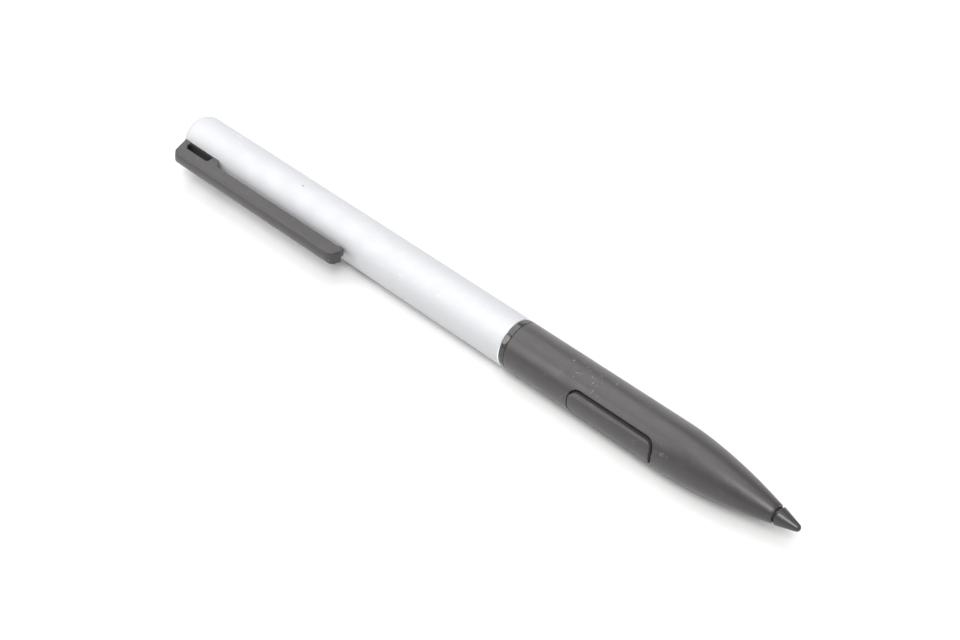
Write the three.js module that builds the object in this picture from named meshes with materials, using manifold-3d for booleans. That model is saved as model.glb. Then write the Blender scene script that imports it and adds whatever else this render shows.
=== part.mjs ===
import * as THREE from "three";
import { mergeVertices } from "three/addons/utils/BufferGeometryUtils.js";
import Module from "manifold-3d";

const wasm = await Module();
wasm.setup();

// Millimetres. The pen is drawn along X, nib towards +X, with X = 0 where the barrel meets the collar.
// The clip and the button are drawn on the +Z side, and the finished pen is rolled to lie as it rests.

// ---- Driving dimensions: outside ----
const BARREL_R = 4.75;
const BARREL_LENGTH = 87.5;
const TAIL_ROUNDING = 1.6;
const BARREL_WALL = 0.5;
const TAIL_WALL = 1.2;
const MOUTH_R = 4.4;
const MOUTH_DEPTH = 6.5;
const COLLAR_R = 4.7;
const COLLAR_WIDTH = 1.05;
const SEAM = 0.12;
const GRIP_R = 4.7;
const GRIP_WALL = 0.6;
const NOSE_X = 54.6;
const TAPER_START = 35;
const TAPER_RATE = 0.01686;
const TAPER_POWER = 1.74;
const NOSE_BORE = 1.35;
const NIB_TIP_X = 58.98;
const NIB_TIP_R = 0.68;
const NIB_BASE_X = 55.4;
const NIB_BASE_R = 1.6;
const NIB_NECK_R = 1.15;
const NIB_STROKE = 0.3;

// ---- Driving dimensions: clip ----
const CLIP_WIDTH = 2.55;
const CLIP_BEVEL = 0.25;
const CLIP_TOP = 9.4;
const CLIP_BACK_X = -86.4;
const CLIP_STEP_X = -75.9;
const ARM_ROOT_X = -73;
const ARM_END_X = -38;
const ARM_GAP = 1.38;
const ARM_SLOPE = 0.3;
const LANYARD_REAR_X = -84.2;
const LANYARD_FRONT_X = -77.4;
const LANYARD_TOP = 6.65;
const LANYARD_FOOT = 5.05;
const ARM_FOOT = 5;
const PEG_LENGTH = 1.3;
const PEG_WIDTH = 1.6;
const PEG_DEPTH = 2.5;
const PEG_REAR_X = -85.2;
const PEG_FRONT_X = -76.6;
const LOCK_PIN_R = 0.5;
const LOCK_PIN_Z = 3.3;

// ---- Driving dimensions: button ----
const RECESS_REAR_X = 15.4;
const RECESS_FRONT_X = 33.5;
const RECESS_HALF = 2.65;
const RECESS_CORNER = 1.9;
const BUTTON_REAR_X = 15.65;
const BUTTON_FRONT_X = 32.75;
const BUTTON_HALF = 2.2;
const BUTTON_CORNER = 1.3;
const BUTTON_FACE_REAR = 4.53;
const BUTTON_FACE_FRONT = 4.34;
const PIVOT_X = 24.2;
const PIVOT_Z = 2.1;
const PIVOT_PIN_R = 0.45;
const SWITCH_ARM = 6.2;

// ---- Driving dimensions: inside ----
const CELL_R = 3.85;
const CELL_SLEEVE_R = 4.1;
const CELL_REAR_X = -63.2;
const CELL_FRONT_X = -22.2;
const CELL_NUB_X = -20.7;
const INSERT_FRONT_X = -74;
const SPIGOT_REAR_X = -20;
const SPIGOT_R = 4.3;
const BOARD_TOP = 0.2;
const BOARD_THICKNESS = 0.8;
const BOARD_SEAT = BOARD_TOP - BOARD_THICKNESS - 0.03;
const SLIP = 0.05;
const ROUND_SIDES = 36;

// The pen lies with the clip 10 degrees above the level of its own axis.
const ROLL = THREE.MathUtils.degToRad(80);

// ---- Geometry helpers ----
function toSolid(geometry) {
  const bare = geometry.clone();
  bare.deleteAttribute("normal");
  bare.deleteAttribute("uv");
  const merged = mergeVertices(bare, 1e-4);
  const vertProperties = new Float32Array(merged.attributes.position.array);
  const triVerts = new Uint32Array(merged.index.array);
  return new wasm.Manifold(new wasm.Mesh({ numProp: 3, vertProperties, triVerts }));
}

function toGeometry(solid) {
  const mesh = solid.getMesh();
  const geometry = new THREE.BufferGeometry();
  const places = new THREE.BufferAttribute(new Float32Array(mesh.vertProperties), 3);
  geometry.setAttribute("position", places);
  geometry.setIndex(new THREE.BufferAttribute(new Uint32Array(mesh.triVerts), 1));
  return geometry;
}

function cut(base, ...tools) {
  return tools.reduce((left, tool) => left.subtract(toSolid(tool)), toSolid(base));
}

function join(...parts) {
  return parts.map(toSolid).reduce((sum, part) => sum.add(part));
}

// A body of revolution about X from [x, radius] corners; one flat side faces straight down at rest.
function turned(corners, sides = ROUND_SIDES) {
  const points = corners.map(([x, r]) => new THREE.Vector2(r, x));
  const geometry = new THREE.LatheGeometry(points, sides, Math.PI / sides);
  return geometry.rotateZ(-Math.PI / 2);
}

function rod(x0, x1, r, sides) {
  return turned([[x0, 0], [x0, r], [x1, r], [x1, 0]], sides);
}

function tube(x0, x1, outer, inner, sides) {
  return turned([[x0, inner], [x0, outer], [x1, outer], [x1, inner], [x0, inner]], sides);
}

function block(x0, x1, y0, y1, z0, z1) {
  const geometry = new THREE.BoxGeometry(x1 - x0, y1 - y0, z1 - z0);
  return geometry.translate((x0 + x1) / 2, (y0 + y1) / 2, (z0 + z1) / 2);
}

// A rod standing along Z.
function post(x, y, z0, z1, r, sides = 20) {
  const geometry = new THREE.CylinderGeometry(r, r, z1 - z0, sides);
  return geometry.rotateX(Math.PI / 2).translate(x, y, (z0 + z1) / 2);
}

// A rod lying across the pen, along Y.
function crossRod(x, z, half, r, sides = 20) {
  return new THREE.CylinderGeometry(r, r, 2 * half, sides).translate(x, 0, z);
}

// A side outline of [x, z] corners, extruded to a width across the pen, with bevelled long edges.
function sideCut(corners, width, bevel = 0) {
  const shape = new THREE.Shape(corners.map(([x, z]) => new THREE.Vector2(x, z)));
  const geometry = new THREE.ExtrudeGeometry(shape, {
    depth: width - 2 * bevel,
    bevelEnabled: bevel > 0,
    bevelSize: bevel,
    bevelOffset: -bevel,
    bevelThickness: bevel,
    bevelSegments: 1,
  });
  return geometry.rotateX(Math.PI / 2).translate(0, width / 2 - bevel, 0);
}

// A long outline with rounded corners, standing along Z.
function slotPrism(x0, x1, half, corner, z0, z1) {
  const quarter = Math.PI / 2;
  const shape = new THREE.Shape();
  shape.absarc(x0 + corner, half - corner, corner, quarter, 2 * quarter, false);
  shape.absarc(x0 + corner, corner - half, corner, 2 * quarter, 3 * quarter, false);
  shape.absarc(x1 - corner, corner - half, corner, 3 * quarter, 4 * quarter, false);
  shape.absarc(x1 - corner, half - corner, corner, 0, quarter, false);
  const geometry = new THREE.ExtrudeGeometry(shape, {
    depth: z1 - z0,
    bevelEnabled: false,
    curveSegments: 6,
  });
  return geometry.translate(0, 0, z0);
}

function steps(from, to, count) {
  return Array.from({ length: count + 1 }, (_, i) => from + ((to - from) * i) / count);
}

// ---- Finishes ----
function finish(color, roughness, metalness) {
  return { color, roughness, metalness };
}
const SATIN_ALUMINIUM = finish(0xc9cbd0, 0.35, 1);
const BLACK_PLASTIC = finish(0x1b1b1d, 0.5, 0);
const GLOSS_BLACK = finish(0x141416, 0.12, 0);
const SOFT_BLACK = finish(0x232325, 0.75, 0);
const GREY_PLASTIC = finish(0x55585c, 0.6, 0);
const STEEL = finish(0xa9abae, 0.3, 1);
const BRASS = finish(0xc2a45a, 0.3, 1);
const CELL_LABEL = finish(0x2f5d50, 0.4, 0);
const BOARD_GREEN = finish(0x1f5a3a, 0.45, 0);
const RUBBER = finish(0x161616, 0.9, 0);
const NIB_BLACK = finish(0x202022, 0.3, 0);

const pen = new THREE.Group();
pen.name = "stylus_pen";

function addPiece(name, shape, look) {
  const geometry = shape.isBufferGeometry ? shape : toGeometry(shape);
  const piece = new THREE.Mesh(geometry, new THREE.MeshStandardMaterial(look));
  piece.name = name;
  pen.add(piece);
}

// ---- Barrel: one drawn aluminium tube, closed and rounded at the tail ----
const tailX = -BARREL_LENGTH;
const boreR = BARREL_R - BARREL_WALL;

function pegHole(x) {
  const halfLong = PEG_LENGTH / 2 + SLIP;
  const halfWide = PEG_WIDTH / 2 + SLIP;
  return block(x - halfLong, x + halfLong, -halfWide, halfWide, PEG_DEPTH - 0.2, BARREL_R + 1);
}

function barrelTube() {
  const rounding = steps(0, Math.PI / 2, 6).map((angle) => [
    tailX + TAIL_ROUNDING * (1 - Math.sin(angle)),
    BARREL_R - TAIL_ROUNDING * (1 - Math.cos(angle)),
  ]).reverse();
  const edge = 0.15;
  const shell = turned([
    [tailX, 0],
    ...rounding,
    [-edge, BARREL_R],
    [0, BARREL_R - edge],
    [0, MOUTH_R],
    [-MOUTH_DEPTH, MOUTH_R],
    [-MOUTH_DEPTH, boreR],
    [tailX + TAIL_WALL, boreR],
    [tailX + TAIL_WALL, 0],
  ]);
  return cut(shell, pegHole(PEG_REAR_X), pegHole(PEG_FRONT_X));
}
addPiece("barrel_tube", barrelTube(), SATIN_ALUMINIUM);

// ---- Clip: head with a lanyard eye against the barrel, and a straight springy arm ----
const armInnerRoot = BARREL_R + ARM_GAP;
const armInnerEnd = armInnerRoot - ARM_SLOPE;
const armOuterEnd = CLIP_TOP - 0.45;

function peg(x) {
  const halfLong = PEG_LENGTH / 2;
  const halfWide = PEG_WIDTH / 2;
  return block(x - halfLong, x + halfLong, -halfWide, halfWide, PEG_DEPTH, BARREL_R + 1);
}

function lockPin(radius) {
  const pin = rod(CLIP_BACK_X + 0.9, INSERT_FRONT_X - 0.3, radius, 16);
  return pin.translate(0, 0, LOCK_PIN_Z);
}

function clipHead() {
  const side = sideCut([
    [CLIP_BACK_X, 4.3],
    [CLIP_BACK_X + 1.05, 6.5],
    [CLIP_BACK_X + 2.1, 8.5],
    [CLIP_BACK_X + 3.1, CLIP_TOP - 0.05],
    [CLIP_BACK_X + 4, CLIP_TOP],
    [ARM_ROOT_X - SLIP, CLIP_TOP],
    [ARM_ROOT_X - SLIP, armInnerRoot],
    [CLIP_STEP_X + 1.8, armInnerRoot],
    [CLIP_STEP_X, 4.3],
  ], CLIP_WIDTH, CLIP_BEVEL);
  const eye = sideCut([
    [LANYARD_REAR_X, LANYARD_FOOT],
    [LANYARD_REAR_X, LANYARD_TOP - 1],
    [LANYARD_REAR_X + 1.05, LANYARD_TOP],
    [LANYARD_FRONT_X - 0.1, LANYARD_TOP],
    [LANYARD_FRONT_X, LANYARD_TOP - 0.7],
    [LANYARD_FRONT_X - 0.1, LANYARD_FOOT],
  ], 2 * CLIP_WIDTH);
  const barrelSide = rod(tailX - 3, ARM_END_X, BARREL_R + SLIP);
  const head = cut(side, eye, barrelSide);
  const pegs = join(peg(PEG_REAR_X), peg(PEG_FRONT_X));
  return head.add(pegs).subtract(toSolid(lockPin(LOCK_PIN_R + SLIP)));
}
addPiece("clip_head", clipHead(), BLACK_PLASTIC);

// The arm's end leans back a little and carries a narrower foot that nearly touches the barrel.
function clipArm() {
  const arm = sideCut([
    [ARM_ROOT_X, armInnerRoot],
    [ARM_ROOT_X, CLIP_TOP],
    [ARM_END_X - 0.85, armOuterEnd],
    [ARM_END_X - 0.45, armOuterEnd - 0.3],
    [ARM_END_X, armInnerEnd + 0.7],
    [ARM_END_X - 1.3, armInnerEnd],
  ].reverse(), CLIP_WIDTH, CLIP_BEVEL);
  const foot = sideCut([
    [ARM_END_X - 2.7, armInnerEnd + 0.3],
    [ARM_END_X - 2, ARM_FOOT],
    [ARM_END_X - 0.7, ARM_FOOT],
    [ARM_END_X - 0.35, armInnerEnd + 0.8],
  ], 0.55 * CLIP_WIDTH);
  return join(arm, foot);
}
addPiece("clip_arm", clipArm(), BLACK_PLASTIC);

function tailInsert() {
  const plug = turned([
    [tailX + TAIL_WALL + 0.1, 0],
    [tailX + TAIL_WALL + 0.1, boreR - 0.1],
    [INSERT_FRONT_X, boreR - 0.1],
    [INSERT_FRONT_X, 0],
  ]);
  return cut(plug, pegHole(PEG_REAR_X), pegHole(PEG_FRONT_X), lockPin(LOCK_PIN_R + SLIP));
}
addPiece("tail_insert", tailInsert(), GREY_PLASTIC);
addPiece("clip_lock_pin", lockPin(LOCK_PIN_R), STEEL);

// ---- Battery: one small cell with its spring contact in the tail ----
addPiece("tail_contact", rod(INSERT_FRONT_X + SLIP, INSERT_FRONT_X + 0.4, 3.7), STEEL);

class SpringPath extends THREE.Curve {
  constructor(x0, x1, r0, r1, turns) {
    super();
    this.ends = [x0, x1, r0, r1, turns];
  }

  getPoint(t, target = new THREE.Vector3()) {
    const [x0, x1, r0, r1, turns] = this.ends;
    const angle = 2 * Math.PI * turns * t;
    const r = r0 + (r1 - r0) * t;
    return target.set(x0 + (x1 - x0) * t, r * Math.cos(angle), r * Math.sin(angle));
  }
}

function batterySpring() {
  const wire = 0.25;
  const x0 = INSERT_FRONT_X + 0.4 + wire + SLIP;
  const x1 = CELL_REAR_X - wire - SLIP;
  const section = new THREE.Shape();
  section.absarc(0, 0, wire, 0, 2 * Math.PI, false);
  return new THREE.ExtrudeGeometry(section, {
    steps: 110,
    curveSegments: 3,
    extrudePath: new SpringPath(x0, x1, 3.2, 1.8, 6),
  });
}
addPiece("battery_spring", batterySpring(), STEEL);

function batteryCan() {
  const edge = 0.3;
  return turned([
    [CELL_REAR_X, 0],
    [CELL_REAR_X, CELL_R - edge],
    [CELL_REAR_X + edge, CELL_R],
    [CELL_FRONT_X - edge, CELL_R],
    [CELL_FRONT_X, CELL_R - edge],
    [CELL_FRONT_X, 0],
  ]);
}
addPiece("battery_can", batteryCan(), STEEL);
const sleeveEdge = 0.5;
const sleeveRear = CELL_REAR_X + sleeveEdge;
const sleeveFront = CELL_FRONT_X - sleeveEdge;
addPiece("battery_sleeve", tube(sleeveRear, sleeveFront, CELL_SLEEVE_R, CELL_R + 0.03), CELL_LABEL);
addPiece("battery_washer", tube(CELL_FRONT_X + 0.02, CELL_FRONT_X + 0.32, 3.3, 2.1), RUBBER);
addPiece("battery_nub", rod(CELL_FRONT_X + 0.02, CELL_NUB_X, 1.9, 24), STEEL);

// ---- Collar: a gloss ring fixed on the barrel's mouth ----
function collarRing() {
  const edge = 0.08;
  return turned([
    [0.02, MOUTH_R],
    [0.02, COLLAR_R - edge],
    [0.02 + edge, COLLAR_R],
    [COLLAR_WIDTH - edge, COLLAR_R],
    [COLLAR_WIDTH, COLLAR_R - edge],
    [COLLAR_WIDTH, MOUTH_R],
    [0.02, MOUTH_R],
  ]);
}
addPiece("collar_ring", collarRing(), GLOSS_BLACK);

// ---- Spigot: the front half's neck, a push fit in the barrel's mouth, held by its rubber ring ----
const gripRearX = COLLAR_WIDTH + SEAM;
const spigotBore = 3.5;
const sealGrooveRear = -1.5;
const sealGrooveFront = -0.7;
const sealGrooveR = 3.8;

function spigot() {
  const neckR = 4;
  const insideGripR = GRIP_R - GRIP_WALL - SLIP;
  const insideGripX = gripRearX + 6.8;
  return turned([
    [SPIGOT_REAR_X, 1.2],
    [SPIGOT_REAR_X, neckR],
    [-MOUTH_DEPTH + 0.1, neckR],
    [-MOUTH_DEPTH + 0.4, SPIGOT_R],
    [sealGrooveRear, SPIGOT_R],
    [sealGrooveRear, sealGrooveR],
    [sealGrooveFront, sealGrooveR],
    [sealGrooveFront, SPIGOT_R],
    [gripRearX - SLIP, SPIGOT_R],
    [gripRearX - SLIP, insideGripR],
    [insideGripX, insideGripR],
    [insideGripX, spigotBore],
    [SPIGOT_REAR_X + 1, spigotBore],
    [SPIGOT_REAR_X + 1, 1.2],
    [SPIGOT_REAR_X, 1.2],
  ]);
}
addPiece("spigot", spigot(), GREY_PLASTIC);

function sealRing() {
  const sectionR = 0.26;
  const centreX = (sealGrooveRear + sealGrooveFront) / 2;
  const centreR = sealGrooveR + sectionR + 0.03;
  const corners = steps(0, 2 * Math.PI, 8).map((angle) => [
    centreX - sectionR * Math.cos(angle),
    centreR + sectionR * Math.sin(angle),
  ]);
  corners[8] = corners[0];
  return turned(corners);
}
addPiece("seal_ring", sealRing(), RUBBER);

function frontContact() {
  return turned([
    [SPIGOT_REAR_X - 0.65, 0],
    [SPIGOT_REAR_X - 0.65, 1.4],
    [SPIGOT_REAR_X - 0.35, 2.2],
    [SPIGOT_REAR_X - SLIP, 2.2],
    [SPIGOT_REAR_X - SLIP, 1.1],
    [SPIGOT_REAR_X + 2.2, 1.1],
    [SPIGOT_REAR_X + 2.2, 0],
  ], 24);
}
addPiece("front_contact", frontContact(), BRASS);

// ---- Grip: a soft-touch shell that tapers to the nose ----
function gripOuter(x) {
  const past = Math.max(0, x - TAPER_START);
  return GRIP_R - TAPER_RATE * past ** TAPER_POWER;
}

function gripInner(x) {
  return Math.max(NOSE_BORE, gripOuter(x) - GRIP_WALL);
}

function gripShell() {
  const edge = 0.1;
  const outside = steps(TAPER_START, NOSE_X - 0.15, 14).map((x) => [x, gripOuter(x)]);
  const inside = steps(TAPER_START, NOSE_X, 14).map((x) => [x, gripInner(x)]).reverse();
  const shell = turned([
    [gripRearX, GRIP_R - GRIP_WALL],
    [gripRearX, GRIP_R - edge],
    [gripRearX + edge, GRIP_R],
    ...outside,
    [NOSE_X, gripOuter(NOSE_X) - 0.12],
    ...inside,
    [gripRearX, GRIP_R - GRIP_WALL],
  ]);
  return cut(shell, slotPrism(RECESS_REAR_X, RECESS_FRONT_X, RECESS_HALF, RECESS_CORNER, 2.5, 6));
}
addPiece("grip_shell", gripShell(), SOFT_BLACK);

// ---- Chassis: an open trough inside the grip that carries the circuit board ----
const chassisRear = gripRearX + 7.1;
const chassisFront = 36;
const earInner = 2.25;
const earOuter = 2.85;
const screwRearX = 12;
const screwFrontX = 34.6;

function ear(side) {
  const y0 = side > 0 ? earInner : -earOuter;
  const y1 = side > 0 ? earOuter : -earInner;
  return block(PIVOT_X - 1.1, PIVOT_X + 1.1, y0, y1, -2.6, 3);
}

function innerChassis() {
  const troughs = join(
    tube(chassisRear, chassisFront, 3.95, 3.35),
    tube(chassisRear, chassisRear + 0.8, 3.95, 2.8),
    tube(gripRearX, chassisRear + 0.4, 3.4, 2.8),
    rod(screwRearX - 1, screwRearX + 1, 3.6),
    rod(screwFrontX - 1, screwFrontX + 1, 3.6),
  );
  const aboveBoard = block(-5, 45, -6, 6, BOARD_SEAT, 6);
  const sidesOfBosses = [-1, 1].map((side) => block(screwRearX - 1.5, screwFrontX + 1.5,
    side > 0 ? 1 : -3.3, side > 0 ? 3.3 : -1, -3.2, BOARD_SEAT));
  const pinHole = crossRod(PIVOT_X, PIVOT_Z, 4, PIVOT_PIN_R + SLIP);
  const screwHoles = [screwRearX, screwFrontX].map((x) => post(x, 0, -2.4, 0, 0.45, 16));
  let body = troughs.subtract(toSolid(aboveBoard));
  sidesOfBosses.forEach((side) => {
    const inTrough = toSolid(side).intersect(toSolid(rod(screwRearX - 1.5, screwFrontX + 1.5, 3.35)));
    body = body.subtract(inTrough);
  });
  body = body.add(join(ear(1), ear(-1)).intersect(toSolid(rod(0, 45, 3.95))));
  screwHoles.forEach((hole) => {
    body = body.subtract(toSolid(hole));
  });
  return body.subtract(toSolid(pinHole));
}
addPiece("inner_chassis", innerChassis(), GREY_PLASTIC);

// ---- Circuit board with its parts ----
function circuitBoard() {
  const narrowHalf = 3.2;
  const wideHalf = 3.75;
  const wideX = chassisRear + 0.1;
  const bottom = BOARD_TOP - BOARD_THICKNESS;
  const board = join(
    block(-17, wideX + 0.5, -narrowHalf, narrowHalf, bottom, BOARD_TOP),
    block(wideX, 35.9, -wideHalf, wideHalf, bottom, BOARD_TOP),
  );
  const notches = [-1, 1].map((side) => block(PIVOT_X - 1.3, PIVOT_X + 1.3,
    side > 0 ? earInner - 0.15 : -5, side > 0 ? 5 : -earInner + 0.15, -2, 2));
  const holes = [screwRearX, screwFrontX].map((x) => post(x, 0, -2, 2, 0.5, 16));
  return [...notches, ...holes].reduce((body, tool) => body.subtract(toSolid(tool)), board);
}
addPiece("circuit_board", circuitBoard(), BOARD_GREEN);

const onBoard = BOARD_TOP + 0.02;
const canWall = 0.2;
const canOuter = block(-14, -4, -2.4, 2.4, onBoard, 1.6);
const canInner = block(-14 + canWall, -4 - canWall, -2.4 + canWall, 2.4 - canWall, -1, 1.6 - canWall);
addPiece("shield_can", cut(canOuter, canInner), STEEL);
addPiece("controller_chip", block(-11.5, -7, -1.7, 1.7, onBoard, 1.1), BLACK_PLASTIC);
addPiece("boost_coil", block(-2.4, 0.8, -1.5, 1.5, onBoard, 1.5), GREY_PLASTIC);
addPiece("clock_crystal", block(3, 6.2, -1.2, 1.2, onBoard, 0.9), STEEL);

function screw(x) {
  return join(
    post(x, 0, onBoard, 0.75, 0.95, 24),
    post(x, 0, -2.3, onBoard + 0.1, 0.4, 16),
  ).subtract(toSolid(block(x - 0.7, x + 0.7, -0.12, 0.12, 0.5, 1)));
}
addPiece("rear_screw", screw(screwRearX), STEEL);
addPiece("front_screw", screw(screwFrontX), STEEL);

// ---- Button: one long rocker on a cross pin, over two switches ----
const switchTop = 1.15;
const plungerTop = 1.78;

function switchBody(x) {
  const body = block(x - 1.5, x + 1.5, -1.3, 1.3, onBoard, switchTop);
  return cut(body, post(x, 0, 0.5, 2, 0.72));
}

function switchPlunger(x) {
  return post(x, 0, 0.78, plungerTop, 0.62);
}
addPiece("rear_switch_body", switchBody(PIVOT_X - SWITCH_ARM), GREY_PLASTIC);
addPiece("rear_switch_plunger", switchPlunger(PIVOT_X - SWITCH_ARM), BLACK_PLASTIC);
addPiece("front_switch_body", switchBody(PIVOT_X + SWITCH_ARM), GREY_PLASTIC);
addPiece("front_switch_plunger", switchPlunger(PIVOT_X + SWITCH_ARM), BLACK_PLASTIC);

function sideButton() {
  const skirtBottom = 2.9;
  const outline = slotPrism(BUTTON_REAR_X, BUTTON_FRONT_X, BUTTON_HALF, BUTTON_CORNER, skirtBottom, 6);
  const pad = toSolid(outline)
    .intersect(toSolid(rod(BUTTON_REAR_X - 1, BUTTON_FRONT_X + 1, GRIP_R + 0.02, 72)));
  const slope = (BUTTON_FACE_REAR - BUTTON_FACE_FRONT) / (BUTTON_FRONT_X - BUTTON_REAR_X);
  const aboveFace = sideCut([
    [BUTTON_REAR_X - 2, BUTTON_FACE_REAR + 2 * slope],
    [BUTTON_FRONT_X + 2, BUTTON_FACE_FRONT - 2 * slope],
    [BUTTON_FRONT_X + 2, 8],
    [BUTTON_REAR_X - 2, 8],
  ], 8);
  const pusherBottom = plungerTop + 0.03;
  const ribs = [PIVOT_X - SWITCH_ARM, PIVOT_X + SWITCH_ARM].map((x) =>
    toSolid(block(x - 0.6, x + 0.6, -0.6, 0.6, pusherBottom, skirtBottom + 0.2)));
  const boss = block(PIVOT_X - 1, PIVOT_X + 1, -1.9, 1.9, PIVOT_Z - 0.9, skirtBottom + 0.2);
  const pinHole = crossRod(PIVOT_X, PIVOT_Z, 4, PIVOT_PIN_R + SLIP);
  return pad.subtract(toSolid(aboveFace))
    .add(toSolid(boss))
    .add(ribs[0])
    .add(ribs[1])
    .subtract(toSolid(pinHole));
}
addPiece("side_button", sideButton(), SOFT_BLACK);
addPiece("button_pin", crossRod(PIVOT_X, PIVOT_Z, earOuter, PIVOT_PIN_R), STEEL);

// ---- Nib group: carrier, force sensor, aerial ring, sliding holder and nib ----
const sensorRear = 37.1;
const sensorFront = 39.5;
const holderRear = sensorFront + NIB_STROKE + 0.1;
const holderR = 1.15;

function sensorCarrier() {
  const rear = 36.4;
  const front = 42.6;
  const outer = gripInner(front) - 0.1;
  return turned([
    [rear, 1],
    [rear, outer],
    [front, outer],
    [front, holderR + 0.1],
    [sensorFront + 0.1, holderR + 0.1],
    [sensorFront + 0.1, 2.65],
    [sensorRear - 0.1, 2.65],
    [sensorRear - 0.1, 1],
    [rear, 1],
  ]);
}
addPiece("sensor_carrier", sensorCarrier(), GREY_PLASTIC);
addPiece("pressure_sensor", rod(sensorRear, sensorFront, 2.55, 24), STEEL);
addPiece("sensor_lead", block(35.65, 37.05, -0.8, 0.8, onBoard, onBoard + 0.2), BRASS);

const ringRear = 43;
const ringFront = 46;
addPiece("antenna_ring", tube(ringRear, ringFront, gripInner(ringFront) - 0.1, holderR + 0.2), BRASS);

const stemR = 0.6;
const holderFront = 47.8;

function nibHolder() {
  return turned([
    [holderRear, 0],
    [holderRear, holderR],
    [holderFront, holderR],
    [holderFront, stemR + 0.02],
    [holderFront - 4.6, stemR + 0.02],
    [holderFront - 4.6, 0],
  ], 24);
}
addPiece("nib_holder", nibHolder(), GREY_PLASTIC);

function nib() {
  const ballX = NIB_TIP_X - NIB_TIP_R;
  const ball = steps(0.28, Math.PI / 2, 6).map((angle) => [
    ballX + NIB_TIP_R * Math.sin(angle),
    NIB_TIP_R * Math.cos(angle),
  ]);
  ball[6] = [NIB_TIP_X, 0];
  return turned([
    [holderFront - 4.5, 0],
    [holderFront - 4.5, stemR],
    [holderFront + 0.1, stemR],
    [holderFront + 0.1, NIB_NECK_R],
    [NIB_BASE_X - 0.25, NIB_NECK_R],
    [NIB_BASE_X - 0.05, NIB_BASE_R - 0.12],
    [NIB_BASE_X + 0.1, NIB_BASE_R],
    ...ball,
  ], 24);
}
addPiece("nib", nib(), NIB_BLACK);

const bushFront = 50.6;
addPiece("nose_bush", tube(48.6, bushFront, gripInner(bushFront) - 0.1, NIB_NECK_R + 0.1), BLACK_PLASTIC);

// ---- Lay the pen on its side and centre it over the origin ----
pen.children.forEach((piece) => piece.geometry.rotateX(ROLL));
const bounds = new THREE.Box3().setFromObject(pen);
const centre = bounds.getCenter(new THREE.Vector3());
pen.children.forEach((piece) => piece.geometry.translate(-centre.x, -centre.y, -bounds.min.z));

export default pen;
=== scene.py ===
import math

import bmesh
import bpy
from mathutils import Matrix, Vector


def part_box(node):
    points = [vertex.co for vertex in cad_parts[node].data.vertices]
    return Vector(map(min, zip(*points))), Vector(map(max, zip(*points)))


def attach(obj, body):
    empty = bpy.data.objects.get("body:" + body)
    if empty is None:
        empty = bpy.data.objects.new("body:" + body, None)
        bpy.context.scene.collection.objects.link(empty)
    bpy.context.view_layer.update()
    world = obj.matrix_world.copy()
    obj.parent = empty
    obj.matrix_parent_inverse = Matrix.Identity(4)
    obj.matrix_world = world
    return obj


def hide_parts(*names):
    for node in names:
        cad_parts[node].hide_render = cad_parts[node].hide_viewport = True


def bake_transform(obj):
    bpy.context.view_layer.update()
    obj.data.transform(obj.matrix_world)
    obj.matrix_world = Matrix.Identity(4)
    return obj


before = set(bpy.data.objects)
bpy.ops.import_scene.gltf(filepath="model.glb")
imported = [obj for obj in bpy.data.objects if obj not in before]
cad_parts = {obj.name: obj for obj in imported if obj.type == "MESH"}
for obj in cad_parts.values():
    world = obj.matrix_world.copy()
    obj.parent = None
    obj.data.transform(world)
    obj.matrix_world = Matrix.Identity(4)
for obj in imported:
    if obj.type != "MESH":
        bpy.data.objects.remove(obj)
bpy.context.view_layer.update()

# ---------------------------------------------------------------------------------------------
# Barrel: one drawn aluminium tube, blasted and clear anodised, closed and rounded at the tail.
# Its mouth is faced off after anodising, so the small chamfer there is bright bare metal.
# Everything else on the pen is placed from its axis and its mouth.
# ---------------------------------------------------------------------------------------------
MM = 0.001
ROLL = math.radians(80)
BARREL_R = 4.73
BARREL_LENGTH = 87.5
TAIL_ROUNDING = 1.6
MOUTH_R = 4.4
MOUTH_DEPTH = 6.5
BORE_R = 4.25
TAIL_WALL = 1.2

barrel_low, barrel_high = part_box("barrel_tube")
axis = (barrel_low + barrel_high) / 2
mouth = Vector((barrel_high.x, axis.y, axis.z))

# Pen millimetres, X to the nib and Z to the clip and button, into the place where the pen rests.
laid = Matrix.Translation(mouth) @ Matrix.Rotation(ROLL, 4, "X") @ Matrix.Scale(MM, 4)


def rounded(corners, steps=6, loop=False):
    """The outline through (x, r, fillet) corners, with an arc at each corner that has a fillet."""
    outline = []
    for i, (x, r, fillet) in enumerate(corners):
        here = Vector((x, r))
        if fillet == 0 or (not loop and i in (0, len(corners) - 1)):
            outline.append(here)
            continue
        back = (Vector(corners[i - 1][:2]) - here).normalized()
        on = (Vector(corners[(i + 1) % len(corners)][:2]) - here).normalized()
        half = back.angle(on) / 2
        centre = here + (back + on).normalized() * fillet / math.sin(half)
        first = here + back * fillet / math.tan(half) - centre
        last = here + on * fillet / math.tan(half) - centre
        swing = math.atan2(first.cross(last), first.dot(last))
        for k in range(steps + 1):
            turn = Matrix.Rotation(swing * k / steps, 2)
            outline.append(centre + turn @ first)
    return outline


def solid(name, points, faces, crease=32, turn=0.0):
    """A closed mesh from pen millimetres, laid in place, smooth but for its real edges."""
    mesh = bpy.data.meshes.new(name)
    place = laid @ Matrix.Rotation(turn, 4, "X")
    mesh.from_pydata([place @ Vector(p) for p in points], [], faces)
    shape = bmesh.new()
    shape.from_mesh(mesh)
    bmesh.ops.remove_doubles(shape, verts=shape.verts, dist=1e-7)
    bmesh.ops.recalc_face_normals(shape, faces=shape.faces)
    shape.to_mesh(mesh)
    shape.free()
    mesh.shade_smooth()
    mesh.set_sharp_from_angle(angle=math.radians(crease))
    piece = bpy.data.objects.new(name, mesh)
    bpy.context.scene.collection.objects.link(piece)
    even = piece.modifiers.new("even shading", "WEIGHTED_NORMAL")
    even.keep_sharp = True
    return piece


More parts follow.
